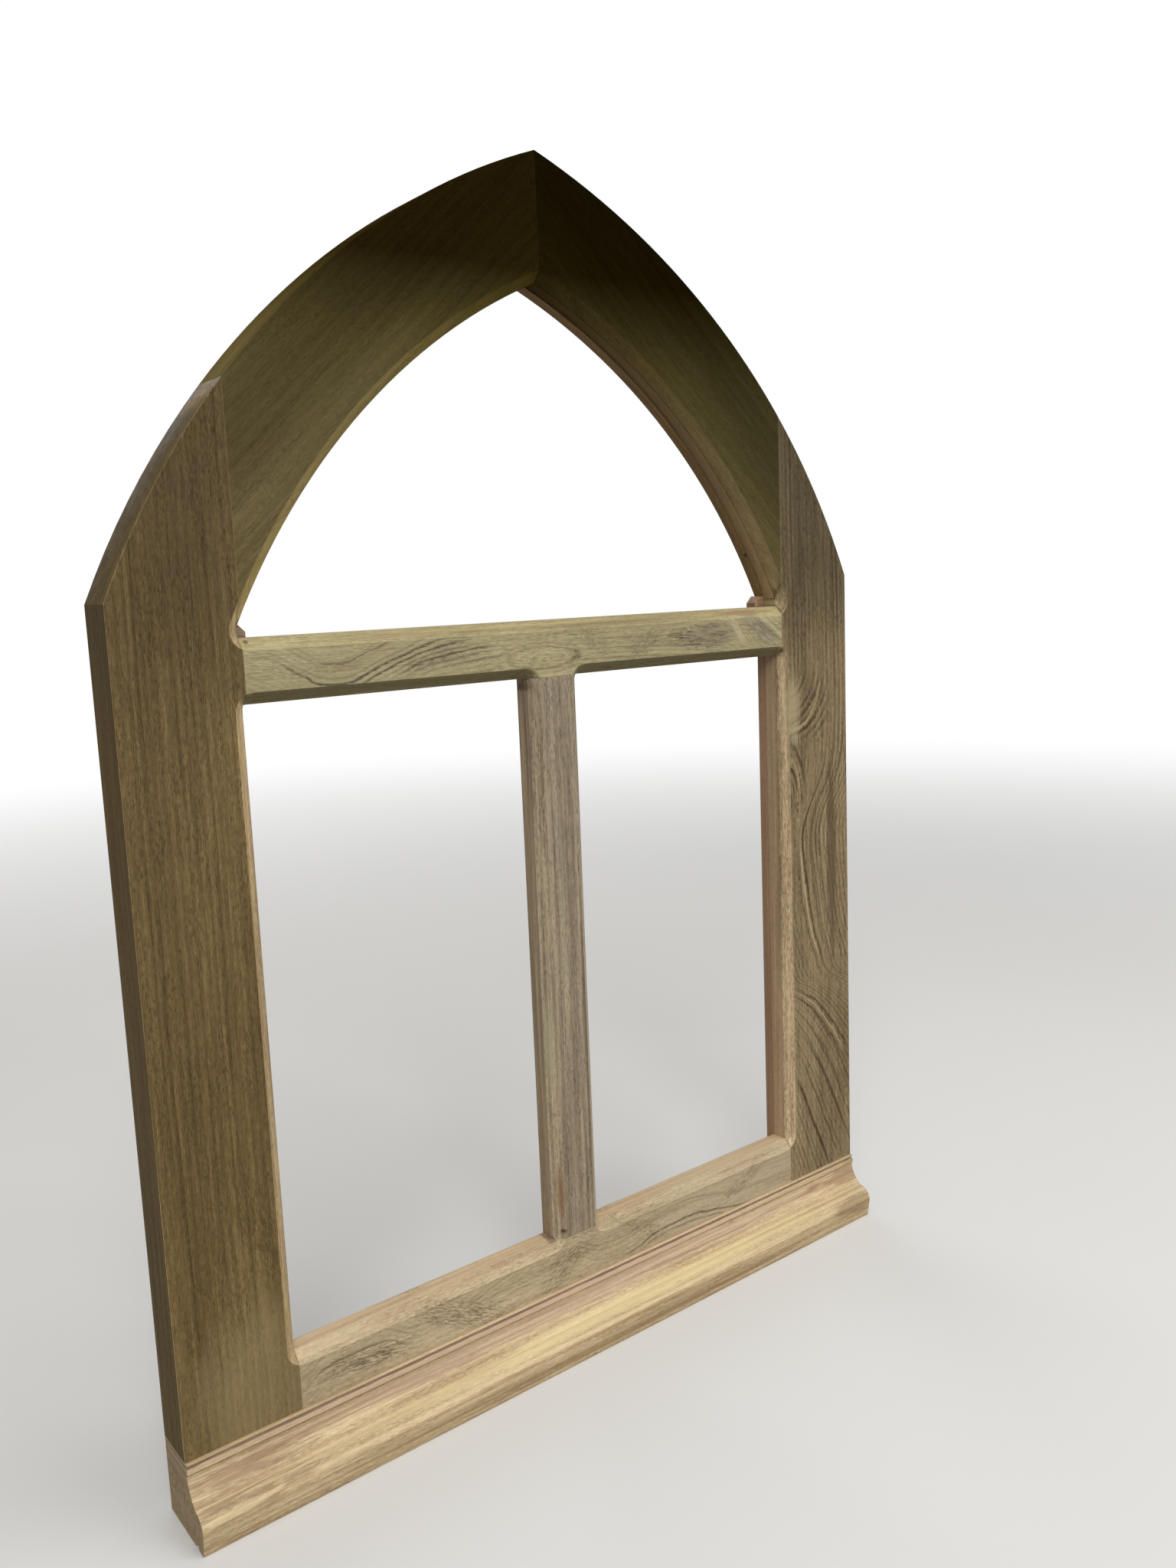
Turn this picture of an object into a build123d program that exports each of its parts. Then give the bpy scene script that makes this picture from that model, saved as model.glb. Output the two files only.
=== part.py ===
from build123d import *
import os
from math import sqrt

# Pointed window frame in solid hardwood: jambs, arch halves, transom, mullion, rail and moulded sill.
# Millimetres, X to the right seen from outside, Y into the wall, Z up, origin under the sill's middle.

# Lights, measured between the reveals
CLEAR_WIDTH = 560.0
LOWER_LIGHT_HEIGHT = 511.0
SPRINGING_RISE = 7.5
ARCH_RISE = 276.5
ARCH_RADIUS = 553.0

# Frame members
FRAME_DEPTH = 42.0
JAMB_WIDTH = 95.0
ARCH_WIDTH = 95.0
TRANSOM_HEIGHT = 48.5
MULLION_WIDTH = 51.0
RAIL_HEIGHT = 45.5

# Routed edge of each light, cut round the assembled frame by a cutter that follows the reveal
EDGE_CHAMFER = 9.0
CUTTER_BEARING_RADIUS = 5.0
CHAMFER_ANGLE = 45.0

# Glazing rebate behind the lip, and the beads and corner blocks that sit in it
LIP_DEPTH = 23.5
REBATE_WIDTH = 12.0
BEAD_DEPTH = 12.0
BEAD_ROUND = 2.5
BLOCK_REACH = 13.0
BLOCK_RISE = 10.5
BLOCK_CORNER_CUT = 6.5

# Mortise and tenon joints
TENON_SETBACK = 14.0
TENON_THICKNESS = 14.0
JAMB_TENON_LENGTH = 45.0
TRANSOM_STUB_LENGTH = 20.0
RAIL_STUB_LENGTH = 24.0
RAIL_TENON_FOOT = 12.0
TENON_END_GAP = 1.0

# Loose tongues hidden in the springing, apex and sill joints
TONGUE_THICKNESS = 6.0
TONGUE_SETBACK = 17.5
TONGUE_REACH = 9.0
GROOVE_END_GAP = 1.0
SPRINGING_TONGUE_LENGTH = 80.0
SPRINGING_TONGUE_MARGIN = 21.0
APEX_TONGUE_MARGIN = 25.0
SILL_TONGUE_MARGIN = 20.0

# Sill moulding, from the face of the frame outwards
SILL_HEIGHT = 62.0
SILL_NOSE_PROJECTION = 27.0
TOP_BEAD_HEIGHT = 2.2
TOP_BEAD_PROJECTION = 2.4
TOP_BEAD_ROUND = 0.8
QUIRK_HEIGHT = 1.2
QUIRK_DEPTH = 1.6
LOWER_BEAD_HEIGHT = 5.4
LOWER_BEAD_PROJECTION = 3.6
LOWER_BEAD_ROUND = 1.3
LOWER_BEAD_STEP = 1.6
COVE_FOOT_PROJECTION = 14.5
COVE_FOOT_DROP = 30.5
COVE_HOLLOW = 2.2
NOSE_RADIUS = 13.0
NOSE_UNDERCUT = 3.0
DRIP_WIDTH = 6.0
DRIP_DEPTH = 4.0
DRIP_SETBACK = 9.0

# Places that follow from the sizes above
HALF_CLEAR = CLEAR_WIDTH / 2
HALF_OUTER = HALF_CLEAR + JAMB_WIDTH
HALF_MULLION = MULLION_WIDTH / 2
OUTSIDE_FACE_Y = (SILL_NOSE_PROJECTION - FRAME_DEPTH) / 2
RAIL_TOP = SILL_HEIGHT + RAIL_HEIGHT
TRANSOM_BOTTOM = RAIL_TOP + LOWER_LIGHT_HEIGHT
TRANSOM_TOP = TRANSOM_BOTTOM + TRANSOM_HEIGHT
SPRINGING = TRANSOM_TOP + SPRINGING_RISE
APEX = TRANSOM_TOP + ARCH_RISE
BLOCK_TOP = TRANSOM_TOP + BLOCK_RISE
PAST = 5.0


def centre_of_left_arc():
    """Centre (x, z) of the intrados that runs from the left springing point to the apex."""
    run = HALF_CLEAR
    rise = APEX - SPRINGING
    chord = sqrt(run * run + rise * rise)
    back = sqrt(ARCH_RADIUS * ARCH_RADIUS - chord * chord / 4)
    return -run / 2 + back * rise / chord, SPRINGING + rise / 2 - back * run / chord


ARC_X, ARC_Z = centre_of_left_arc()


def arc_height(x, grow):
    """Height at x of the left arc, grown outwards from the intrados."""
    radius = ARCH_RADIUS + grow
    return ARC_Z + sqrt(radius * radius - (x - ARC_X) ** 2)


def point_on_arc(x, grow):
    return x, arc_height(x, grow)


def pointed_outline(half_width, bottom, grow):
    """Face between two upright sides and two arcs that meet in a point on the middle line."""
    foot = point_on_arc(-half_width, grow)
    left_middle = point_on_arc(-half_width / 2, grow)
    top = point_on_arc(0, grow)
    base = Polyline(foot, (-half_width, bottom), (half_width, bottom), (half_width, foot[1]))
    left_arc = ThreePointArc(foot, left_middle, top)
    right_arc = ThreePointArc(top, (half_width / 2, left_middle[1]), (half_width, foot[1]))
    return make_face(base + left_arc + right_arc)


def rectangle(x_low, x_high, z_low, z_high):
    return Pos((x_low + x_high) / 2, (z_low + z_high) / 2) * Rectangle(x_high - x_low, z_high - z_low)


def at_depth(depth):
    """Upright plane at a depth behind the outside face, looking out of the wall."""
    return Plane((0, OUTSIDE_FACE_Y + depth, 0), x_dir=(1, 0, 0), z_dir=(0, -1, 0))


def slab(outline, front, back):
    """Solid with the given outline between two depths behind the outside face."""
    return extrude(at_depth(back) * outline, amount=back - front)


def mirrored(shape):
    return mirror(shape, about=Plane.YZ)


# Outlines of the lights
UPPER_LIGHT = pointed_outline(HALF_CLEAR, TRANSOM_TOP, 0)
LEFT_LIGHT = rectangle(-HALF_CLEAR, -HALF_MULLION, RAIL_TOP, TRANSOM_BOTTOM)
RIGHT_LIGHT = rectangle(HALF_MULLION, HALF_CLEAR, RAIL_TOP, TRANSOM_BOTTOM)
OUTER_OUTLINE = pointed_outline(HALF_OUTER, SILL_HEIGHT, ARCH_WIDTH)


def edge_cutter(light):
    """Body swept by the bevel cutter round one light.

    The bearing rolls along the reveal, so it leaves each corner rounded by its own radius. The bevel
    widens from there to the face, and a cone in each corner runs out on the square reveal.
    """
    guided = fillet(light.vertices(), CUTTER_BEARING_RADIUS)
    return extrude(at_depth(EDGE_CHAMFER) * guided, amount=EDGE_CHAMFER + PAST, taper=-CHAMFER_ANGLE)


EDGE_CUTTERS = [edge_cutter(light) for light in (UPPER_LIGHT, LEFT_LIGHT, RIGHT_LIGHT)]


def routed(member):
    """Member with the bevels of every light that it borders."""
    for cutter in EDGE_CUTTERS:
        member = member - cutter
    return member


def rebate_block(outline):
    return slab(outline, LIP_DEPTH, FRAME_DEPTH + PAST)


UPPER_REBATE_OUTLINE = pointed_outline(HALF_CLEAR + REBATE_WIDTH, TRANSOM_TOP - REBATE_WIDTH, REBATE_WIDTH)
UPPER_REBATE = rebate_block(UPPER_REBATE_OUTLINE)


def tenon(x_low, x_high, z_low, z_high):
    return slab(rectangle(x_low, x_high, z_low, z_high), TENON_SETBACK, TENON_SETBACK + TENON_THICKNESS)


def tongue(x_low, x_high, z_low, z_high):
    return slab(rectangle(x_low, x_high, z_low, z_high), TONGUE_SETBACK, TONGUE_SETBACK + TONGUE_THICKNESS)


# Tenon limits up and down the jambs
TRANSOM_TENON_LOW = TRANSOM_BOTTOM + REBATE_WIDTH
TRANSOM_TENON_HIGH = TRANSOM_TOP - REBATE_WIDTH
RAIL_TENON_LOW = SILL_HEIGHT + RAIL_TENON_FOOT
RAIL_TENON_HIGH = RAIL_TOP - REBATE_WIDTH

# Tongue limits
SPRINGING_TONGUE_TOP = arc_height(-HALF_CLEAR, ARCH_WIDTH) - SPRINGING_TONGUE_MARGIN
SPRINGING_TONGUE_FOOT = SPRINGING_TONGUE_TOP - SPRINGING_TONGUE_LENGTH
APEX_TONGUE_FOOT = APEX + APEX_TONGUE_MARGIN
APEX_TONGUE_TOP = arc_height(0, ARCH_WIDTH) - APEX_TONGUE_MARGIN
SILL_TONGUE_END = HALF_OUTER - SILL_TONGUE_MARGIN


def springing_tongue(gap):
    """Left springing tongue, or its groove when a gap is given."""
    reach = TONGUE_REACH + gap
    low = SPRINGING_TONGUE_FOOT - gap
    high = SPRINGING_TONGUE_TOP + gap
    return tongue(-HALF_CLEAR - reach, -HALF_CLEAR + reach, low, high)


def apex_tongue(gap):
    reach = TONGUE_REACH + gap
    return tongue(-reach, reach, APEX_TONGUE_FOOT - gap, APEX_TONGUE_TOP + gap)


def sill_tongue(gap):
    reach = TONGUE_REACH + gap
    end = SILL_TONGUE_END + gap
    return tongue(-end, end, SILL_HEIGHT - reach, SILL_HEIGHT + reach)


def left_jamb():
    """Upright post that runs past the springing and ends under the outer curve of the arch."""
    post = rectangle(-HALF_OUTER - PAST, -HALF_CLEAR, SILL_HEIGHT, APEX + ARCH_WIDTH)
    body = slab(OUTER_OUTLINE & post, 0, FRAME_DEPTH)
    lower_rebate = rectangle(-HALF_CLEAR - REBATE_WIDTH, -HALF_CLEAR, SILL_HEIGHT, TRANSOM_TOP)
    mortise_end = -HALF_CLEAR - JAMB_TENON_LENGTH - TENON_END_GAP
    body = body - rebate_block(lower_rebate) - UPPER_REBATE
    body = body - tenon(mortise_end, -HALF_CLEAR, TRANSOM_TENON_LOW, TRANSOM_TENON_HIGH)
    body = body - tenon(mortise_end, -HALF_CLEAR, RAIL_TENON_LOW, RAIL_TENON_HIGH)
    body = body - springing_tongue(GROOVE_END_GAP) - sill_tongue(GROOVE_END_GAP)
    return routed(body)


def left_arch():
    """Curved half of the head; its foot runs out to a point on the jamb's reveal."""
    reach = rectangle(-HALF_CLEAR, 0, SPRINGING, APEX + 2 * ARCH_WIDTH)
    body = slab((OUTER_OUTLINE & reach) - UPPER_LIGHT, 0, FRAME_DEPTH)
    body = body - UPPER_REBATE - springing_tongue(GROOVE_END_GAP) - apex_tongue(GROOVE_END_GAP)
    return routed(body)


def cross_member(z_low, z_high, web_low, web_high, tenon_low, tenon_high):
    """Member between the jambs: a lip, a web with longer shoulders behind it, and a tenon each end."""
    web_end = HALF_CLEAR + REBATE_WIDTH
    tenon_end = HALF_CLEAR + JAMB_TENON_LENGTH
    lip = slab(rectangle(-HALF_CLEAR, HALF_CLEAR, z_low, z_high), 0, LIP_DEPTH)
    web = slab(rectangle(-web_end, web_end, web_low, web_high), LIP_DEPTH, FRAME_DEPTH)
    return lip + web + tenon(-tenon_end, tenon_end, tenon_low, tenon_high)


def transom():
    body = cross_member(
        TRANSOM_BOTTOM, TRANSOM_TOP, TRANSOM_TENON_LOW, TRANSOM_TENON_HIGH, TRANSOM_TENON_LOW, TRANSOM_TENON_HIGH
    )
    half_stub = HALF_MULLION - REBATE_WIDTH
    mortise_top = TRANSOM_BOTTOM + TRANSOM_STUB_LENGTH + TENON_END_GAP
    return routed(body - tenon(-half_stub, half_stub, TRANSOM_BOTTOM, mortise_top))


def bottom_rail():
    body = cross_member(
        SILL_HEIGHT, RAIL_TOP, SILL_HEIGHT, RAIL_TENON_HIGH, RAIL_TENON_LOW, RAIL_TENON_HIGH
    )
    half_stub = HALF_MULLION - REBATE_WIDTH
    mortise_foot = RAIL_TOP - RAIL_STUB_LENGTH - TENON_END_GAP
    body = body - tenon(-half_stub, half_stub, mortise_foot, RAIL_TOP)
    return routed(body - sill_tongue(GROOVE_END_GAP))


def mullion():
    half_web = HALF_MULLION - REBATE_WIDTH
    lip = slab(rectangle(-HALF_MULLION, HALF_MULLION, RAIL_TOP, TRANSOM_BOTTOM), 0, LIP_DEPTH)
    web = slab(rectangle(-half_web, half_web, RAIL_TENON_HIGH, TRANSOM_TENON_LOW), LIP_DEPTH, FRAME_DEPTH)
    stub_foot = RAIL_TOP - RAIL_STUB_LENGTH
    stub_top = TRANSOM_BOTTOM + TRANSOM_STUB_LENGTH
    return routed(lip + web + tenon(-half_web, half_web, stub_foot, stub_top))


def corners_at(section, points):
    """Corners of a flat face that lie at the given points."""
    return [corner for corner in section.vertices() if (round(corner.X, 6), round(corner.Y, 6)) in points]


def sill_section():
    """Upright section of the sill: two small beads with a quirk between them, a cove and a round nose.

    Points are (y, z) with y measured from the outside face of the frame, outwards negative.
    """
    quirk_top = -TOP_BEAD_HEIGHT
    quirk_foot = quirk_top - QUIRK_HEIGHT
    quirk_back = -TOP_BEAD_PROJECTION + QUIRK_DEPTH
    cove_top = quirk_foot - LOWER_BEAD_HEIGHT
    cove_start = (-LOWER_BEAD_PROJECTION + LOWER_BEAD_STEP, cove_top)
    cove_end = (-COVE_FOOT_PROJECTION, -COVE_FOOT_DROP)
    cove_middle = (
        (cove_start[0] + cove_end[0]) / 2 + COVE_HOLLOW,
        (cove_start[1] + cove_end[1]) / 2 - COVE_HOLLOW,
    )
    nose_point = (-SILL_NOSE_PROJECTION, -COVE_FOOT_DROP - NOSE_RADIUS)
    foot = -SILL_NOSE_PROJECTION + NOSE_UNDERCUT
    lower_bead = [(-LOWER_BEAD_PROJECTION, cove_top), (-LOWER_BEAD_PROJECTION, quirk_foot)]
    top_bead = [(-TOP_BEAD_PROJECTION, quirk_top), (-TOP_BEAD_PROJECTION, 0)]
    upper = Polyline(
        cove_start,
        *lower_bead,
        (quirk_back, quirk_foot),
        (quirk_back, quirk_top),
        *top_bead,
        (FRAME_DEPTH, 0),
        (FRAME_DEPTH, -SILL_HEIGHT),
        (foot, -SILL_HEIGHT),
        nose_point,
    )
    nose = TangentArc(nose_point, cove_end, tangent=(0, 1))
    cove = ThreePointArc(cove_end, cove_middle, cove_start)
    section = make_face(upper + nose + cove)
    section = fillet(corners_at(section, lower_bead), LOWER_BEAD_ROUND)
    return fillet(corners_at(section, top_bead), TOP_BEAD_ROUND)


def sill():
    """Moulded sill under the frame, with a drip groove below its nose."""
    end = Plane((-HALF_OUTER, OUTSIDE_FACE_Y, SILL_HEIGHT), x_dir=(0, 1, 0), z_dir=(1, 0, 0))
    body = extrude(end * sill_section(), amount=2 * HALF_OUTER)
    drip_y = OUTSIDE_FACE_Y - SILL_NOSE_PROJECTION + NOSE_UNDERCUT + DRIP_SETBACK + DRIP_WIDTH / 2
    drip = Pos(0, drip_y, 0) * Box(2 * HALF_OUTER, DRIP_WIDTH, 2 * DRIP_DEPTH)
    return body - drip - sill_tongue(GROOVE_END_GAP)


def left_jamb_bead():
    """Straight bead in the jamb's rebate, flush with the reveal, from the rail to the transom."""
    outer = -HALF_CLEAR - REBATE_WIDTH
    outline = rectangle(outer, -HALF_CLEAR, RAIL_TENON_HIGH, TRANSOM_TENON_LOW)
    bar = slab(outline, LIP_DEPTH, LIP_DEPTH + BEAD_DEPTH)
    back_edge = bar.edges().filter_by(Axis.Z).group_by(Axis.Y)[-1].sort_by(Axis.X)[-1]
    return fillet(back_edge, BEAD_ROUND)


def left_arch_bead():
    """Curved bead in the arch's rebate, from the corner block to the mitre at the apex."""
    half = rectangle(-HALF_CLEAR - REBATE_WIDTH, 0, BLOCK_TOP, APEX + ARCH_WIDTH)
    return slab((UPPER_REBATE_OUTLINE & half) - UPPER_LIGHT, LIP_DEPTH, LIP_DEPTH + BEAD_DEPTH)


def left_corner_block():
    """Block in the rebate's lower corner above the transom, with its inner corner cut off."""
    outer = -HALF_CLEAR - REBATE_WIDTH
    inner = -HALF_CLEAR + BLOCK_REACH
    outline = Polyline(
        (outer, TRANSOM_TENON_HIGH),
        (inner, TRANSOM_TENON_HIGH),
        (inner, BLOCK_TOP - BLOCK_CORNER_CUT),
        (inner - BLOCK_CORNER_CUT, BLOCK_TOP),
        (outer, BLOCK_TOP),
        close=True,
    )
    return slab(make_face(outline) & UPPER_REBATE_OUTLINE, LIP_DEPTH, LIP_DEPTH + BEAD_DEPTH)


def all_parts():
    jamb = left_jamb()
    arch = left_arch()
    jamb_bead = left_jamb_bead()
    arch_bead = left_arch_bead()
    block = left_corner_block()
    springing = springing_tongue(0)
    return {
        "left_jamb": jamb,
        "right_jamb": mirrored(jamb),
        "left_arch": arch,
        "right_arch": mirrored(arch),
        "transom": transom(),
        "mullion": mullion(),
        "bottom_rail": bottom_rail(),
        "sill": sill(),
        "left_jamb_bead": jamb_bead,
        "right_jamb_bead": mirrored(jamb_bead),
        "left_arch_bead": arch_bead,
        "right_arch_bead": mirrored(arch_bead),
        "left_corner_block": block,
        "right_corner_block": mirrored(block),
        "left_springing_tongue": springing,
        "right_springing_tongue": mirrored(springing),
        "apex_tongue": apex_tongue(0),
        "sill_tongue": sill_tongue(0),
    }


os.makedirs("parts", exist_ok=True)
for name, shape in all_parts().items():
    export_step(shape, f"parts/{name}.step")
    print(name, round(shape.volume), len(shape.solids()))
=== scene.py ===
import logging
from dataclasses import astuple, dataclass, field
from enum import Enum
from functools import reduce
from math import radians
from typing import Iterator, Optional, Union

import bpy
from mathutils import Matrix, Vector


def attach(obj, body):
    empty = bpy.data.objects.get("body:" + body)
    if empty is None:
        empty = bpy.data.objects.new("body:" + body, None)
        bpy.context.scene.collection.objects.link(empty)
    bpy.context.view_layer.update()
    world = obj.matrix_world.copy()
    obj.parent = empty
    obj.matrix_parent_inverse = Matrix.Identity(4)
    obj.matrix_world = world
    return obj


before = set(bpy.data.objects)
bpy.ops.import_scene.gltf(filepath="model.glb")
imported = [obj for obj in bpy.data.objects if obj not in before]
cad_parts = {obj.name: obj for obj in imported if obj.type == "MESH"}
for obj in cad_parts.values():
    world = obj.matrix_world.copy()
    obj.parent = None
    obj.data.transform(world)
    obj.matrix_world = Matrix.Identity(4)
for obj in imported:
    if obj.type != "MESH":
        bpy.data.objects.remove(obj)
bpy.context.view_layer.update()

LOG = logging.getLogger("pointed_window")
MM = 0.001
Place = tuple[float, float, float]
Spot = tuple[float, float]
Paint = tuple[int, int, int]
Tint = tuple[float, float, float, float]
Socket = bpy.types.NodeSocket
Feed = Union[float, Place, Tint, Socket]
Feeds = dict[Union[int, str], Feed]

WHITE = (1.0, 1.0, 1.0, 1.0)
# Middle and half size into the wall, in millimetres, of a patch that goes right through the wood.
THROUGH = (0.0, 1000.0)
# Divisor that takes the depth out of a distance on the face.
FLATTENED = 1000.0
# Centre of the right head half's arc, across and up, in millimetres. The left one mirrors it.
HEAD_CENTRE = (-218.7, 435.6)
# A surface's facing is 1 on the flat face, 0.7 on a bevel and 0 on a reveal. Each pair says between
# which facings a zone fades in, or out where it comes second.
FLAT = (0.8, 0.97)
EDGE_ON = (0.1, 0.4)
BEVEL = ((0.4, 0.6), FLAT)
FACE_ARRIS = ((0.74, 0.84), (0.9, 0.98))
REVEAL_ARRIS = ((0.12, 0.3), (0.45, 0.66))
END_ON = (0.75, 0.98)
# Likewise, by how far a surface faces up and how far it faces into the room.
UNDERSIDE = (-0.3, -0.65)
ROOM_SIDE = (0.3, 0.8)
# Strength of the paler arrises, partly rubbed wear and partly painted highlight, and of the darker end
# grain.
RUBBED_AND_HIGHLIT = 0.45
SOAKED = 0.4
# Shares of a ring's width over which its late wood darkens and then ends, and strength of the faintest.
LATE_WOOD = ((0.25, 0.93), (0.94, 1.0))
FAINTEST_RING = 0.2
# Levels of their noise between which the marks in the wood fade in, for the wear of a bold line also
# the share of it that is left.
RAGGED = (0.15, 0.8)
DASHED = (0.44, 0.6)
RIPPLED = (0.46, 0.66)
GATHERED = (0.42, 0.6)
POROUS = (0.54, 0.64)
CROWDED = (0.35, 0.65)
WORN = (0.4, 0.52, 0.65, 1.0)
# Distance at which the corners of a mesh are joined, in millimetres, and least angle of an eased arris.
JOIN_DISTANCE = 0.01
ARRIS_ANGLE = 28.0
# Half width that holds the reveals but not the outer sides, and height below which undersides get
# painted shade, in metres, each from none to all.
INNER_SIDES = (0.3, 0.294)
LOWER_LIGHTS = (0.67, 0.66)
UNDERSIDE_SHADE = (0.4, 0.39, 0.34, 1.0)
# Heights in metres between which the posts and the head darken with painted shade, with the factors
# on the way, and the distances from the arc's centre at which the rim of the head darkens with more painted
# shade.
SHADED_HEIGHTS = (0.56, 0.96)
SHADE = (
    (0.0, WHITE), (0.12, (0.92, 0.92, 0.91, 1.0)), (0.28, (0.53, 0.53, 0.48, 1.0)),
    (0.38, (0.43, 0.43, 0.37, 1.0)), (0.48, (0.42, 0.42, 0.38, 1.0)), (0.71, (0.32, 0.33, 0.27, 1.0)),
    (0.81, (0.25, 0.25, 0.18, 1.0)), (0.9, (0.14, 0.14, 0.08, 1.0)), (0.98, (0.06, 0.05, 0.02, 1.0)),
)
RIM_RADII = (0.565, 0.61)
RIM_TINT = (0.3, 0.3, 0.28, 1.0)


def tint(paint: Paint) -> Tint:
    """Turn a display colour into the linear colour that shader sockets take.

    Args:
        paint: Red, green and blue from 0 to 255.

    Returns:
        Linear red, green and blue, and an alpha of 1.
    """
    def linear(level: int) -> float:
        """Undo the display curve for one channel."""
        share = level / 255.0
        return share / 12.92 if share <= 0.04045 else ((share + 0.055) / 1.055) ** 2.4

    return (*(linear(level) for level in paint), 1.0)


def on_face(spot: Spot, depth: float = 0.0) -> Place:
    """Metres across, in and up, from millimetres across and up and a depth."""
    return spot[0] * MM, depth * MM, spot[1] * MM


class NodeTray:
    """Adds shader nodes to one node tree and feeds each as it is added."""

    def __init__(self, tree: bpy.types.NodeTree) -> None:
        """Empty the tree."""
        self.nodes, self.links = tree.nodes, tree.links
        self.nodes.clear()

    def add(self, kind: str, feeds: Optional[Feeds] = None, **settings: object) -> bpy.types.Node:
        """Add one node.

        Args:
            kind: Node type.
            feeds: Outputs to link to its inputs, or plain values for them.
            **settings: Properties to set on it.

        Returns:
            The new node.
        """
        node = self.nodes.new(kind)
        for key, value in settings.items():
            setattr(node, key, value)
        for name, value in (feeds or {}).items():
            if isinstance(value, Socket):
                self.links.new(value, node.inputs[name])
            else:
                node.inputs[name].default_value = value
        return node


class Bench(NodeTray):
    """Lays out the shader nodes of one material."""

    def __init__(self, name: str) -> None:
        """Start an empty material.

        Args:
            name: Name of the material.
        """
        self.material = bpy.data.materials.new(name)
        self.material.use_nodes = True
        super().__init__(self.material.node_tree)
        coordinates = self.add("ShaderNodeTexCoord")
        self.place = coordinates.outputs["Object"]
        self.normal = coordinates.outputs["Normal"]
        self.outward = self.math("ABSOLUTE", self.axis(self.normal, "Y"))
        self.face = self.remap(self.outward, *FLAT)

    def math(self, operation: str, first: Feed, second: Feed = 0.0) -> Socket:
        """Result of one operation on two numbers."""
        return self.add("ShaderNodeMath", {0: first, 1: second}, operation=operation).outputs[0]

    def total(self, *terms: Feed) -> Socket:
        """Sum of several numbers."""
        return reduce(lambda result, term: self.math("ADD", result, term), terms)

    def product(self, *terms: Feed) -> Socket:
        """Product of several numbers."""
        return reduce(lambda result, term: self.math("MULTIPLY", result, term), terms)

    def remap(self, value: Feed, low: float, high: float, at_low: float = 0.0, at_high: float = 1.0,
              soft: bool = True) -> Socket:
        """Map a range of numbers onto another, held at its ends.

        Args:
            value: Number to map.
            low: Start of the range.
            high: End of the range.
            at_low: Result at the start.
            at_high: Result at the end.
            soft: Whether the ends are eased.

        Returns:
            The mapped number.
        """
        limits = {"Value": value, "From Min": low, "From Max": high, "To Min": at_low, "To Max": at_high}
        easing = "SMOOTHSTEP" if soft else "LINEAR"
        return self.add("ShaderNodeMapRange", limits, interpolation_type=easing).outputs["Result"]

    def swing(self, noise: Feed, *factors: Feed) -> Socket:
        """Noise moved to lie about 0, times some factors."""
        return self.product(self.math("SUBTRACT", noise, 0.5), *factors)

    def band(self, value: Feed, rise: Spot, fall: Spot) -> Socket:
        """Number that is 1 between two slopes and 0 outside them."""
        return self.product(self.remap(value, *rise), self.remap(value, *fall, 1.0, 0.0))

    def drawn(self, off: Feed, width: float) -> Socket:
        """Share of a soft line, by the distance from its middle in metres and its width in millimetres."""
        return self.remap(off, 0.5 * width * MM, 0.1 * width * MM)

    def framed(self, vector: Feed, centre: Place, turn: float = 0.0,
               size: Place = (1.0, 1.0, 1.0)) -> Socket:
        """Give a place in a frame of its own, turned in the plane of the window.

        Args:
            vector: Place in metres.
            centre: Origin of the frame in metres.
            turn: Degrees from level to the frame's first axis, rising to the right.
            size: Length of one unit of the frame along its three axes, in metres.

        Returns:
            The place in that frame.
        """
        turned = {
            "Vector": vector, "Location": centre, "Rotation": (0.0, -radians(turn), 0.0), "Scale": size,
        }
        return self.add("ShaderNodeMapping", turned, vector_type="TEXTURE").outputs["Vector"]

    def length(self, vector: Feed) -> Socket:
        """Length of a vector."""
        return self.add("ShaderNodeVectorMath", {0: vector}, operation="LENGTH").outputs["Value"]

    def axis(self, vector: Feed, letter: str) -> Socket:
        """One component of a vector."""
        return self.add("ShaderNodeSeparateXYZ", {0: vector}).outputs[letter]

    def scaled(self, vector: Feed, factors: Place) -> Socket:
        """Multiply a vector's components by their own factors."""
        node = self.add("ShaderNodeVectorMath", {0: vector, 1: factors}, operation="MULTIPLY")
        return node.outputs["Vector"]

    def noise(self, vector: Feed, along: float, across: float, detail: float = 2.0,
              distortion: float = 0.0) -> Socket:
        """Noise drawn out along the fibres, about 0.5.

        Args:
            vector: Place in the board's frame, its first axis along the fibres, in metres.
            along: Length of its features along the fibres, in millimetres.
            across: Their width across the fibres, in millimetres.
            detail: Octaves of finer noise.
            distortion: How far it is curled.

        Returns:
            The noise.
        """
        stretched = self.scaled(vector, (1.0 / (along * MM), 1.0 / (across * MM), 1.0 / (across * MM)))
        pattern = {
            "Vector": stretched, "Scale": 1.0, "Detail": detail, "Roughness": 0.55, "Distortion": distortion,
        }
        return self.add("ShaderNodeTexNoise", pattern, noise_dimensions="3D").outputs[0]

    def blend(self, share: Feed, first: Feed, second: Feed, mode: str = "MIX") -> Socket:
        """Mix two colours, by the share of the second from 0 to 1."""
        paints = {0: share, 6: first, 7: second}
        return self.add("ShaderNodeMix", paints, data_type="RGBA", blend_type=mode).outputs[2]

    def ramp(self, value: Feed, *stops: tuple[float, Tint]) -> Socket:
        """Run a number through a row of colours.

        Args:
            value: Number from 0 to 1.
            *stops: Positions and their colours, lowest first.

        Returns:
            The colour.
        """
        node = self.add("ShaderNodeValToRGB", {0: value})
        row = node.color_ramp.elements
        for index, (position, colour) in enumerate(stops):
            stop = row[index] if index < 2 else row.new(position)
            stop.position = position
            stop.color = colour
        return node.outputs["Color"]

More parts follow.
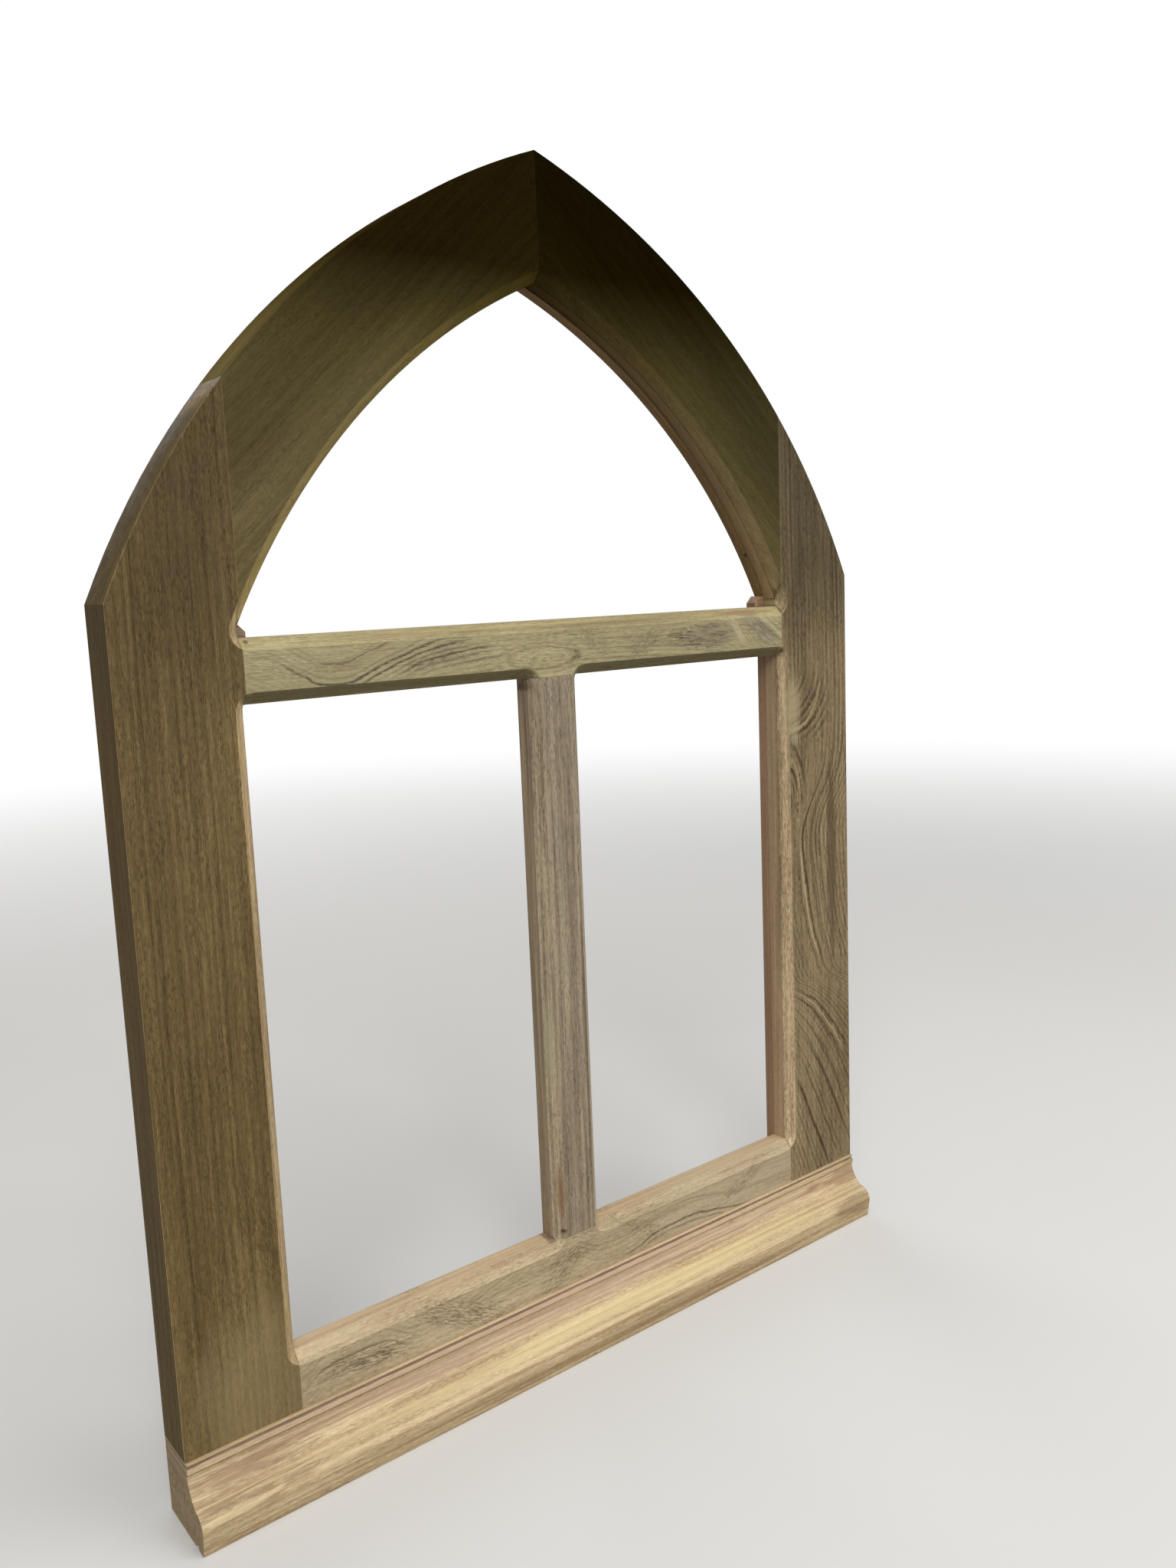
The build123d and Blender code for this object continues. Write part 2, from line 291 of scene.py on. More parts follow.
    def patch(self, centre: Spot, half_size: Spot, tilt: float = 0.0, depth: Spot = THROUGH) -> Socket:
        """Soft oval, seen square on, 1 in its middle and 0 at its rim.

        Args:
            centre: Its middle, across and up, in millimetres.
            half_size: Its half length and half width, in millimetres.
            tilt: Degrees that its length rises to the right.
            depth: Its middle and half size into the wall, in millimetres.

        Returns:
            The share at each place.
        """
        middle, size = on_face(centre, depth[0]), on_face(half_size, depth[1])
        return self.remap(self.length(self.framed(self.place, middle, tilt, size)), 1.0, 0.0)

    def surface(self, colour: Feed, roughness: Feed, height: Feed, relief: float, **sockets: float) -> None:
        """Close the material with its shader.

        Args:
            colour: Base colour.
            roughness: Roughness.
            height: Height of the surface, about 0 to 1.
            relief: Depth in millimetres that a height of 1 stands for.
            **sockets: Values set on the shader's own sockets, spaces written as underscores.
        """
        bump = self.add("ShaderNodeBump", {"Strength": 1.0, "Distance": relief * MM, "Height": height})
        shader = self.add("ShaderNodeBsdfPrincipled", {
            "Base Color": colour, "Roughness": roughness, "Normal": bump.outputs["Normal"],
        })
        for key, value in sockets.items():
            shader.inputs[key.replace("_", " ")].default_value = value
        self.add("ShaderNodeOutputMaterial", {"Surface": shader.outputs["BSDF"]})


class GrainRun(Enum):
    """Direction of the fibres, in degrees from level, rising to the right."""

    LEVEL = 0.0
    UPRIGHT = 90.0
    RISING = 43.0
    FALLING = 137.0


@dataclass(frozen=True)
class Timber:
    """Display colours of a board from its palest fibre to its pores."""

    pale: Paint
    body: Paint
    deep: Paint
    pore: Paint


@dataclass(frozen=True)
class Line:
    """Bold line of the figure that keeps its distance from the guiding ring.

    It fades in over its first quarter and out over its last. Its lengths are in millimetres.
    """

    offset: float
    start: float
    end: float
    colour: Paint
    strength: float
    width: float


@dataclass(frozen=True)
class Flow:
    """Course of the growth rings on a board's face, by the points that its guiding ring passes.

    Each knot is a place along the board and a place across it, in millimetres.
    """

    knots: tuple[Spot, ...]
    lines: tuple[Line, ...] = ()

    def axes(self, run: GrainRun) -> tuple[str, str]:
        """Axes along and across the board."""
        return ("Z", "X") if run is GrainRun.UPRIGHT else ("X", "Z")

    def level(self, bench: Bench, run: GrainRun) -> Socket:
        """Distance from the guiding ring, measured across the board.

        Args:
            bench: Bench to work on.
            run: Direction of the fibres.

        Returns:
            The distance in metres.
        """
        along, across = (bench.axis(bench.place, letter) for letter in self.axes(run))
        start, end = self.knots[0][0], self.knots[-1][0]
        rings = [ring for _, ring in self.knots]
        low, high = min(rings), max(rings)
        node = bench.add("ShaderNodeFloatCurve")
        points = node.mapping.curves[0].points
        for index, (place, ring) in enumerate(self.knots):
            spot = ((place - start) / (end - start), (ring - low) / (high - low))
            if index < 2:
                points[index].location = spot
            else:
                points.new(*spot)
        node.mapping.update()
        bench.links.new(bench.remap(along, start * MM, end * MM, soft=False), node.inputs["Value"])
        course = bench.remap(node.outputs["Value"], 0.0, 1.0, low * MM, high * MM, soft=False)
        return bench.math("SUBTRACT", across, course)

    def shares(self, bench: Bench, run: GrainRun, ruffle: Feed, wear: Feed) -> Iterator[Socket]:
        """Share of each bold line at each place.

        Args:
            bench: Bench to work on.
            run: Direction of the fibres.
            ruffle: Distance that the lines waver, in metres.
            wear: Share of a line that is left where the fibres break it.

        Yields:
            The share of one line from 0 to 1.
        """
        level = self.level(bench, run)
        along = bench.axis(bench.place, self.axes(run)[0])
        for line in self.lines:
            off = bench.math("ABSOLUTE", bench.total(level, -line.offset * MM, ruffle))
            quarter = 0.25 * (line.end - line.start) * MM
            yield bench.product(
                bench.drawn(off, line.width),
                bench.remap(along, line.start * MM, line.start * MM + quarter),
                bench.remap(along, line.end * MM, line.end * MM - quarter),
                bench.face,
                wear,
            )


@dataclass(frozen=True)
class Fan:
    """Area of the face where the growth rings run as arcs round a centre of their own.

    The window is the middle of that area, and the reach its half size.
    """

    centre: Spot
    proportions: Spot
    ring_gap: float
    window: Spot
    reach: Spot
    depth: float

    def radius(self, bench: Bench) -> Socket:
        """Distance from the centre, measured along the oval's own proportions, in metres."""
        size = (self.proportions[0], FLATTENED, self.proportions[1])
        return bench.length(bench.framed(bench.place, on_face(self.centre), 0.0, size))


@dataclass(frozen=True)
class Stroke:
    """Bold line of the figure on the face: the part of an oval's rim that lies in a soft window.

    The window is given by its middle, and the reach is its half size.
    """

    centre: Spot
    half_size: Spot
    window: Spot
    reach: Spot
    colour: Paint
    strength: float
    width: float

    def share(self, bench: Bench, ruffle: Feed, wear: Feed) -> Socket:
        """Share of the line at each place.

        Args:
            bench: Bench to work on.
            ruffle: Distance that the line wavers, in metres.
            wear: Share of the line that is left where the fibres break it.

        Returns:
            The share from 0 to 1.
        """
        size = (self.half_size[0] * MM, FLATTENED, self.half_size[1] * MM)
        radius = bench.length(bench.framed(bench.place, on_face(self.centre), 0.0, size))
        gap = bench.product(bench.math("SUBTRACT", radius, 1.0), min(self.half_size) * MM)
        off = bench.math("ABSOLUTE", bench.math("ADD", gap, ruffle))
        drawn = bench.drawn(off, self.width)
        return bench.product(drawn, bench.patch(self.window, self.reach), bench.face, wear)


@dataclass(frozen=True)
class StainAndPaintedLight:
    """Patch or streak of another colour, oval when seen square on, with ragged edges; some are painted light
    and shade.

    One with a dash is broken up into wavy dashes of that length and width in millimetres.
    """

    centre: Spot
    half_size: Spot
    colour: Paint
    strength: float
    tilt: float = 0.0
    depth: Spot = THROUGH
    dash: Optional[Spot] = None

    def share(self, bench: Bench, middle: Feed, fine: Feed) -> Socket:
        """Share of the patch at each place.

        Args:
            bench: Bench to work on.
            middle: Noise that bends its edge.
            fine: Noise that frays its edge.

        Returns:
            The share from 0 to 1.
        """
        oval = bench.patch(self.centre, self.half_size, self.tilt, self.depth)
        ragged = bench.remap(bench.total(oval, bench.swing(middle, 0.8), bench.swing(fine, 1.1)), *RAGGED)
        if not self.dash:
            return ragged
        own = bench.framed(bench.place, on_face(self.centre), self.tilt)
        dashes = bench.remap(bench.noise(own, *self.dash, distortion=0.9), *DASHED)
        return bench.product(ragged, dashes)


@dataclass(frozen=True)
class Board:
    """Oiled hardwood of one member, figured through its whole thickness.

    Its heart is the pith's place in millimetres. Its gains multiply its colour where it is cut, partly for
    fresher wood and partly as painted light.
    """

    name: str
    timber: Timber
    run: GrainRun
    heart: Place
    ring_gap: float
    ring_depth: float
    wander: float = 4.0
    streaks: float = 0.75
    pores: float = 0.6
    ripple: float = 0.1
    bevel_fresh_and_lit: Place = (1.4, 1.39, 1.37)
    reveal_fresh_and_lit: Place = (1.3, 1.21, 1.17)
    grit: float = 0.8
    shading_up: float = 0.0
    gloss: float = 0.35
    shade_rim: float = 0.0
    flow: Optional[Flow] = None
    fans: tuple[Fan, ...] = ()
    strokes: tuple[Stroke, ...] = ()
    stains_and_light: tuple[StainAndPaintedLight, ...] = ()
    mean_tone: float = 0.44
    tones: Place = (0.08, 0.46, 0.95)
    clouds: float = 0.7
    calm_reveal: float = 0.35
    waver: Spot = (7.0, 2.5)
    roughness: float = 0.5
    relief: float = 0.16

    def material(self) -> bpy.types.Material:
        """Build the finish.

        Returns:
            The material, with rings, fibres, pores, ripple, colour patches, painted light and shade, and
            bevel tone.
        """
        bench = Bench(self.name)
        log = bench.framed(bench.place, tuple(number * MM for number in self.heart), self.run.value)
        slow = bench.noise(log, along=320.0, across=60.0)
        middle = bench.noise(log, along=70.0, across=14.0)
        fine = bench.noise(log, along=15.0, across=1.0, detail=3.0)
        streak = bench.noise(log, along=180.0, across=4.0, detail=4.0)
        fleck = bench.noise(log, along=5.0, across=1.1, distortion=0.4)

        rings = self.rings(bench, log, slow, middle, fine)
        reveal = bench.remap(bench.outward, *EDGE_ON, 1.0, 0.0)
        calm = bench.remap(reveal, 0.0, 1.0, 1.0, self.calm_reveal, soft=False)
        tone = bench.total(
            self.mean_tone,
            bench.product(rings, self.ring_depth, calm),
            bench.swing(streak, self.streaks),
            bench.swing(fine, self.grit, calm),
            bench.swing(fleck, self.grit, calm),
            bench.swing(slow, self.clouds, calm),
        )
        pale, body, deep, pore = (tint(paint) for paint in astuple(self.timber))
        colour = bench.ramp(tone, *zip(self.tones, (pale, body, deep)))
        ripple = self.ripples(bench, log)
        colour = bench.blend(bench.product(ripple, self.ripple), colour, deep)
        pores = self.pore_marks(bench, log)
        colour = bench.blend(bench.product(pores, self.pores, calm), colour, pore)
        colour = self.cut_tone_and_light(bench, colour)
        ruffle = bench.total(bench.swing(middle, self.waver[0] * MM), bench.swing(fleck, self.waver[1] * MM))
        fibres = bench.total(bench.product(fleck, 0.6), bench.product(fine, 0.4))
        wear = bench.remap(fibres, *WORN)
        marks = [(patch_mark, patch_mark.share(bench, middle, fine)) for patch_mark in self.stains_and_light]
        marks += [(stroke, stroke.share(bench, ruffle, wear)) for stroke in self.strokes]
        if self.flow:
            marks += zip(self.flow.lines, self.flow.shares(bench, self.run, ruffle, wear))
        for mark, share in marks:
            colour = bench.blend(bench.product(share, mark.strength), colour, tint(mark.colour))
        if self.shading_up:
            colour = self.shading(bench, colour)
        roughness = bench.total(self.roughness, bench.swing(streak, 0.25), bench.product(pores, 0.2))
        height = bench.total(
            bench.product(fine, 0.35),
            bench.product(fleck, 0.25),
            bench.product(pores, -0.8),
            bench.product(ripple, 0.3),
            bench.product(rings, -0.2),
        )
        bench.surface(colour, roughness, height, self.relief, Specular_IOR_Level=self.gloss)
        return bench.material

    def rings(self, bench: Bench, log: Feed, slow: Feed, middle: Feed, fine: Feed) -> Socket:
        """Growth rings as dark lines with a sharp outer edge, each of its own strength.

        Args:
            bench: Bench to work on.
            log: Place in the board's frame.
            slow: Slow noise, which bends the rings along the board.
            middle: Shorter noise, which ruffles them.
            fine: Fibre noise, which frays them.

        Returns:
            Share of dark late wood from 0 to 1.
        """
        ruffle = bench.total(bench.swing(middle, 0.5 * self.wander * MM), bench.swing(fine, 1.4 * MM))
        radius = bench.length(bench.scaled(log, (0.0, 1.0, 1.0)))
        if self.flow:
            apart = bench.math("SUBTRACT", self.flow.level(bench, self.run), radius)
            radius = bench.total(radius, bench.product(bench.face, apart))
        distance = bench.total(radius, bench.swing(slow, 2.0 * self.wander * MM), ruffle)
        rings = self.late_wood(bench, distance, self.ring_gap)
        for fan in self.fans:
            arcs = self.late_wood(bench, bench.total(fan.radius(bench), ruffle, ruffle), fan.ring_gap)
            arcs = bench.product(arcs, fan.depth / self.ring_depth)
            edge = bench.total(bench.patch(fan.window, fan.reach), bench.swing(middle, 0.5))
            share = bench.product(bench.remap(edge, 0.1, 0.5), bench.face)
            rings = bench.total(rings, bench.product(share, bench.math("SUBTRACT", arcs, rings)))
        return rings

    def late_wood(self, bench: Bench, distance: Feed, ring_gap: float) -> Socket:
        """Dark late wood of rings that follow each other at an even distance.

        Args:
            bench: Bench to work on.
            distance: Distance across the rings, in metres.
            ring_gap: Distance between two rings, in millimetres.

        Returns:
            Share of late wood from 0 to 1.
        """
        count = bench.math("DIVIDE", distance, ring_gap * MM)
        dark = bench.band(bench.math("FRACT", count), *LATE_WOOD)
        own = bench.add("ShaderNodeTexWhiteNoise", {"W": bench.math("FLOOR", count)}, noise_dimensions="1D")
        strength = bench.remap(own.outputs["Value"], 0.0, 1.0, FAINTEST_RING, 1.0, soft=False)
        return bench.product(dark, strength)

    def ripples(self, bench: Bench, log: Feed) -> Socket:
        """Short marks across the fibres, where interlocked grain turns, gathered in places."""
        marks, places = bench.noise(log, 4.0, 9.0, distortion=0.6), bench.noise(log, 110.0, 28.0)
        return bench.product(bench.remap(marks, *RIPPLED), bench.remap(places, *GATHERED))

    def pore_marks(self, bench: Bench, log: Feed) -> Socket:
        """Open pores as short dark dashes along the fibres."""
        dashes, crowd = bench.noise(log, 5.0, 0.65, detail=1.0), bench.noise(log, 80.0, 7.0)
        return bench.product(bench.remap(dashes, *POROUS), bench.remap(crowd, *CROWDED, 0.3, 1.0))

    def cut_tone_and_light(self, bench: Bench, colour: Feed) -> Socket:
        """Tone of the bevels, reveals, undersides, arrises and end grain, with painted light and shade.

        Args:
            bench: Bench to work on.
            colour: Colour of the planed face.

        Returns:
            Colour by the way the surface faces, with painted light and shade.
        """
        outward = bench.outward
        # Lighter bevels and reveals: partly fresher wood, partly painted light.
        colour = bench.blend(bench.band(outward, *BEVEL), colour, (*self.bevel_fresh_and_lit, 1.0), "MULTIPLY")
        aside = bench.math("ABSOLUTE", bench.axis(bench.place, "X"))
        reveal = bench.product(bench.remap(outward, *EDGE_ON, 1.0, 0.0), bench.remap(aside, *INNER_SIDES))
        colour = bench.blend(reveal, colour, (*self.reveal_fresh_and_lit, 1.0), "MULTIPLY")
        # Painted shade on the undersides within the lower lights.
        underside_shade = bench.product(
            bench.remap(bench.axis(bench.normal, "Z"), *UNDERSIDE),
            bench.remap(bench.axis(bench.place, "Z"), *LOWER_LIGHTS),
        )
        colour = bench.blend(underside_shade, colour, UNDERSIDE_SHADE, "MULTIPLY")
        # Paler arrises: partly wear, partly painted highlight.
        arris = bench.total(bench.band(outward, *FACE_ARRIS), bench.band(outward, *REVEAL_ARRIS))
        colour = bench.blend(bench.product(arris, RUBBED_AND_HIGHLIT), colour, tint(self.timber.pale))
        lengthwise = bench.axis(bench.framed(bench.normal, (0.0, 0.0, 0.0), self.run.value), "X")
        end_grain = bench.remap(bench.math("ABSOLUTE", lengthwise), *END_ON)
        return bench.blend(bench.product(end_grain, SOAKED), colour, tint(self.timber.deep))

    def shading(self, bench: Bench, colour: Feed) -> Socket:
        """Painted shade toward the head and its outer rim, on the outside.

        Args:
            bench: Bench to work on.
            colour: Colour before the shading.

        Returns:
            The shaded colour.
        """
        up = bench.axis(bench.place, "Z")
        shade = bench.ramp(bench.remap(up, *SHADED_HEIGHTS, soft=False), *SHADE)
        outside = bench.remap(bench.axis(bench.normal, "Y"), *ROOM_SIDE, 1.0, 0.0)
        colour = bench.blend(bench.product(outside, self.shading_up), colour, shade, "MULTIPLY")
        aside = bench.math("ABSOLUTE", bench.axis(bench.place, "X"))
        from_centre = bench.total(
            bench.math("POWER", bench.math("SUBTRACT", aside, HEAD_CENTRE[0] * MM), 2.0),
            bench.math("POWER", bench.math("SUBTRACT", up, HEAD_CENTRE[1] * MM), 2.0),
        )
        rim = bench.remap(bench.math("SQRT", from_centre), *RIM_RADII)
        return bench.blend(bench.product(rim, outside, self.shade_rim), colour, RIM_TINT, "MULTIPLY")


@dataclass(frozen=True)
class BrassPin:
    """Dull brass of the pins in the beads."""

    name: str = "pin_brass"
    tarnish: Paint = (92, 62, 36)
    bright: Paint = (150, 112, 66)
    relief: float = 0.02

    def material(self) -> bpy.types.Material:
        """Build the finish.

        Returns:
            The material, brown in its hollows and scratched bright on top.
        """
        bench = Bench(self.name)
        cloud = bench.noise(bench.place, along=0.7, across=0.7, detail=3.0)
        scratch = bench.noise(bench.place, along=0.9, across=0.06)
        colour = bench.ramp(cloud, (0.3, tint(self.tarnish)), (0.7, tint(self.bright)))
        bench.surface(colour, bench.remap(scratch, 0.3, 0.7, 0.3, 0.6), scratch, self.relief, Metallic=0.8)
        return bench.material


OLIVE = Timber((187, 177, 134), (160, 148, 107), (106, 93, 68), (86, 74, 54))
# The left post's palette, darkened as painted shade.
BROWN_SHADED = Timber((142, 120, 78), (111, 92, 57), (72, 56, 34), (54, 42, 26))
GREYED = Timber((174, 158, 130), (145, 130, 106), (94, 79, 61), (72, 60, 45))
UMBER = Timber((168, 148, 114), (136, 118, 88), (78, 63, 43), (62, 50, 34))
FAWN = Timber((206, 187, 152), (175, 156, 122), (122, 103, 76), (102, 86, 62))
GOLDEN = Timber((228, 207, 163), (200, 176, 135), (152, 122, 88), (128, 102, 72))
SHADED = Timber((184, 163, 125), (156, 138, 101), (116, 99, 70), (96, 79, 56))
# The right head half's palette, darker than the left's as painted shade.
SHADED_DEEPER = Timber((150, 136, 98), (127, 114, 77), (93, 81, 54), (76, 65, 44))
RUSSET = Timber((176, 149, 120), (148, 121, 94), (104, 81, 60), (82, 63, 47))
AMBER = Timber((150, 121, 74), (122, 97, 56), (84, 64, 36), (66, 50, 28))

TRANSOM = Board(
    "transom_olive", OLIVE, GrainRun.LEVEL, heart=(0, 150, 480), ring_gap=4.6, ring_depth=0.24, wander=3,
    streaks=0.45, pores=0.35, bevel_fresh_and_lit=(1.12, 1.11, 1.09), grit=0.5,
    flow=Flow(
        (
            (-285, 662), (-252, 646.5), (-232, 635), (-217, 629), (-203, 628.5), (-188, 632), (-174, 638),
            (-151, 646.5), (-127, 654.6), (-104, 658.5), (-70, 662), (-20, 664), (60, 664), (130, 662),
            (190, 658), (214, 650), (232, 634), (250, 618), (285, 596),
        ),
        (
            Line(0, -268, -90, (84, 70, 50), 1, 3.6),
            Line(-5, -204, -78, (84, 70, 50), 1, 2.8),
            Line(-9.5, -178, -66, (104, 91, 70), 0.7, 2.6),
            Line(-13.5, -164, -56, (78, 66, 48), 1, 3.2),
            Line(-18, -150, -50, (104, 91, 70), 0.7, 2.6),
            Line(-23, -140, -44, (98, 86, 66), 0.7, 2.6),
            Line(4.5, -250, -112, (122, 107, 78), 0.6, 2.2),
            Line(16, -234, -138, (106, 90, 64), 0.9, 2.8),
            Line(11, -230, -140, (128, 113, 82), 0.5, 2.2),
            Line(40, 240, 290, (192, 181, 150), 0.6, 3.4),
            Line(34, 240, 290, (96, 85, 70), 0.7, 2.6),
            Line(20, 222, 290, (104, 94, 76), 0.6, 2.4),
        ),
    ),
    fans=(
        Fan((-15, 635), (3.6, 1), 3.4, (-15, 637), (72, 26), 0.2),
    ),
    strokes=(
        Stroke((-15, 635), (37, 9.7), (-6, 636), (64, 22), (116, 100, 66), 0.85, 2),
        Stroke((-15, 635), (37, 9.7), (22, 636), (20, 11), (92, 78, 52), 0.85, 3),
    ),
    stains_and_light=(
        StainAndPaintedLight((-180, 642), (210, 60), (118, 106, 72), 0.22),
        StainAndPaintedLight((-120, 643), (56, 11), (104, 92, 70), 0.7, 24, dash=(12, 1.5)),
        StainAndPaintedLight((-275, 664), (4.5, 3), (104, 74, 44), 0.9),
        StainAndPaintedLight((172, 643), (68, 24), (82, 71, 54), 1, -3, dash=(12, 1.4)),
        StainAndPaintedLight((184, 644), (58, 21), (124, 112, 88), 0.5, -4),
        StainAndPaintedLight((100, 640), (50, 20), (114, 102, 74), 0.7, 38, dash=(5, 1.4)),
        StainAndPaintedLight((44, 645), (42, 15), (118, 106, 76), 0.6, -30, dash=(5, 1.4)),
        StainAndPaintedLight((220, 645), (24, 6.5), (176, 163, 130), 0.65, -52),
        StainAndPaintedLight((252, 645), (40, 16), (98, 89, 74), 0.65, -30),
        StainAndPaintedLight((252, 645), (40, 16), (162, 151, 124), 0.65, -38, dash=(13, 1.5)),
        StainAndPaintedLight((230, 663), (60, 3.5), (150, 116, 88), 0.7),
        StainAndPaintedLight((-60, 663), (230, 2.6), (196, 178, 130), 0.7, dash=(140, 1.6)),
        StainAndPaintedLight((-170, 662), (130, 3.2), (146, 124, 88), 0.7, dash=(50, 1.1)),
        StainAndPaintedLight((40, 661.5), (230, 1.6), (132, 113, 78), 0.7, dash=(120, 1.4)),
    ),
)
MULLION = Board(
    "mullion_greyed", GREYED, GrainRun.UPRIGHT, heart=(-210, 70, 300), ring_gap=6.5, ring_depth=0.24,
    streaks=1.425, bevel_fresh_and_lit=(1.5, 1.5, 1.52), reveal_fresh_and_lit=(1.45, 1.36, 1.3), grit=0.6,
    stains_and_light=(
        StainAndPaintedLight((-22, 296), (70, 5), (168, 166, 134), 0.5, 90),
        StainAndPaintedLight((-19, 150), (42, 5), (140, 98, 64), 0.6, 90),
        StainAndPaintedLight((-18, 115), (5, 3.5), (92, 58, 40), 0.9),
        StainAndPaintedLight((-27, 611), (8, 7), (84, 68, 50), 0.6),
        StainAndPaintedLight((15, 300), (330, 2.6), (88, 74, 60), 0.6, 90),
        StainAndPaintedLight((-4, 420), (200, 3), (164, 154, 124), 0.5, 90),
    ),
)
LEFT_JAMB = Board(
    "left_jamb_brown", BROWN_SHADED, GrainRun.UPRIGHT, heart=(-610, 60, 300), ring_gap=6, ring_depth=0.26,
    wander=7, streaks=0.675, pores=0.5, ripple=0.12, bevel_fresh_and_lit=(3.2, 3.45, 4.7),
    reveal_fresh_and_lit=(1.8, 1.68, 1.6), grit=0.6, shading_up=0.5, gloss=0.12,
    stains_and_light=(
        StainAndPaintedLight((-315, 95), (120, 90), (160, 141, 102), 0.38, 90),
        StainAndPaintedLight((-304, 222), (90, 24), (70, 54, 32), 0.5, 108, dash=(9, 1.6)),
    ),
)
RIGHT_JAMB = Board(
    "right_jamb_umber", UMBER, GrainRun.UPRIGHT, heart=(700, 120, 300), ring_gap=6, ring_depth=0.36,
    ripple=0.08, bevel_fresh_and_lit=(2.14, 2.15, 2.34), reveal_fresh_and_lit=(2.18, 2.05, 2.25), grit=0.75,
    shading_up=1, gloss=0.1,
    flow=Flow(
        (
            (40, 494), (83, 477), (130, 457), (187, 429), (220, 407), (246, 385), (268, 356), (284, 333),
            (304, 326), (329, 317), (357, 311), (382, 307), (407, 303.5), (425, 302), (440, 304),
            (458, 311), (469, 318), (489, 330), (509, 337), (552, 341), (620, 341), (720, 338),
        ),
        (
            Line(0, 276, 440, (178, 158, 120), 0.9, 3.4),
            Line(4, 262, 520, (64, 50, 34), 0.85, 3.6),
            Line(-5, 256, 430, (76, 60, 42), 0.8, 3.2),
            Line(14, 268, 560, (74, 59, 41), 0.7, 3.6),
            Line(28, 290, 600, (70, 56, 38), 0.7, 5),
            Line(-64, 178, 275, (168, 148, 114), 0.85, 4.2),
            Line(-58, 176, 280, (62, 48, 33), 0.9, 4.5),
            Line(-71, 170, 272, (70, 55, 38), 0.85, 4.5),
            Line(-90, 130, 240, (76, 60, 42), 0.7, 4),
            Line(-106, 90, 225, (66, 52, 36), 0.8, 5),
            Line(-128, 62, 205, (72, 57, 40), 0.7, 4),
            Line(-146, 50, 185, (62, 49, 34), 0.85, 6),
        ),
    ),
    fans=(
        Fan((286, 604), (1, 1.1), 7, (318, 566), (46, 52), 0.5),
        Fan((286, 466), (1, 2.7), 5, (294, 492), (26, 50), 0.8),
    ),
    strokes=(
        Stroke((286, 604), (56, 69), (312, 566), (46, 58), (62, 48, 32), 0.9, 5),
        Stroke((286, 604), (50, 65), (308, 562), (42, 50), (178, 158, 118), 0.8, 4),
        Stroke((286, 604), (41, 57), (306, 566), (38, 46), (84, 68, 46), 0.7, 3.5),
        Stroke((286, 466), (25, 64), (296, 500), (28, 54), (60, 47, 31), 0.9, 4.5),
        Stroke((286, 466), (17, 50), (294, 496), (22, 48), (178, 158, 118), 0.7, 4),
    ),
    stains_and_light=(
        # Dark band along the outer part of the face: painted shadow.
        StainAndPaintedLight((349, 400), (190, 13), (80, 65, 46), 0.7, 90),
        StainAndPaintedLight((294, 566), (60, 20), (176, 159, 123), 0.6, 90),
        StainAndPaintedLight((301, 470), (62, 10), (170, 149, 111), 0.6, 90, dash=(8, 2)),
        # Pale spot on the reveal at the springing: painted light on the lit corner.
        StainAndPaintedLight((278, 670.5), (7, 5), (232, 216, 170), 0.9),
    ),
)
BOTTOM_RAIL = Board(
    "rail_fawn", FAWN, GrainRun.LEVEL, heart=(0, 150, -60), ring_gap=5, ring_depth=0.22, wander=8,
    streaks=0.525, pores=0.4, ripple=0.12, bevel_fresh_and_lit=(1.12, 1.11, 1.09), grit=0.6,
    flow=Flow(
        (
            (-290, 66), (-270, 76), (-245, 84), (-220, 84), (-190, 74), (-160, 66), (-120, 70), (-60, 84),
            (-10, 82), (40, 66), (90, 74), (126, 76), (160, 72), (210, 62), (290, 58),
        ),
        (
            Line(6, -286, -170, (112, 94, 68), 0.55, 3.4),
            Line(-4, -280, -176, (120, 101, 73), 0.5, 3),
            Line(0, 30, 240, (100, 84, 62), 0.9, 3.4),
            Line(-5, 50, 220, (116, 99, 74), 0.7, 2.8),
            Line(16, 60, 280, (140, 121, 90), 0.6, 3),
        ),
    ),
    stains_and_light=(
        StainAndPaintedLight((200, 84), (190, 60), (196, 180, 152), 0.3),
        StainAndPaintedLight((-222, 80), (66, 16), (106, 89, 65), 0.85, -8, dash=(8, 1.3)),
        StainAndPaintedLight((-28, 107), (7, 5), (112, 84, 74), 0.7),
        StainAndPaintedLight((-130, 82), (100, 22), (122, 103, 76), 0.8, -24, dash=(8, 1.3)),
        StainAndPaintedLight((-20, 82), (66, 22), (118, 100, 74), 0.8, 30, dash=(7, 1.3)),
        StainAndPaintedLight((70, 88), (70, 12), (126, 108, 80), 0.6, -30, dash=(7, 1.4)),
        StainAndPaintedLight((210, 88), (70, 14), (128, 110, 82), 0.7, 24, dash=(7, 1.4)),
        StainAndPaintedLight((-150, 104.5), (170, 2.4), (182, 136, 106), 0.8, 0, (0, 11), (90, 1.4)),
        StainAndPaintedLight((190, 102.5), (120, 3), (168, 122, 94), 0.8, 0, (0, 11), (90, 1.6)),
        StainAndPaintedLight((-236, 105), (46, 4), (210, 196, 168), 0.5, 0, (0, 11), (30, 2)),
        StainAndPaintedLight((60, 100), (90, 2.4), (206, 198, 150), 0.6, 0, (0, 11)),
    ),
)
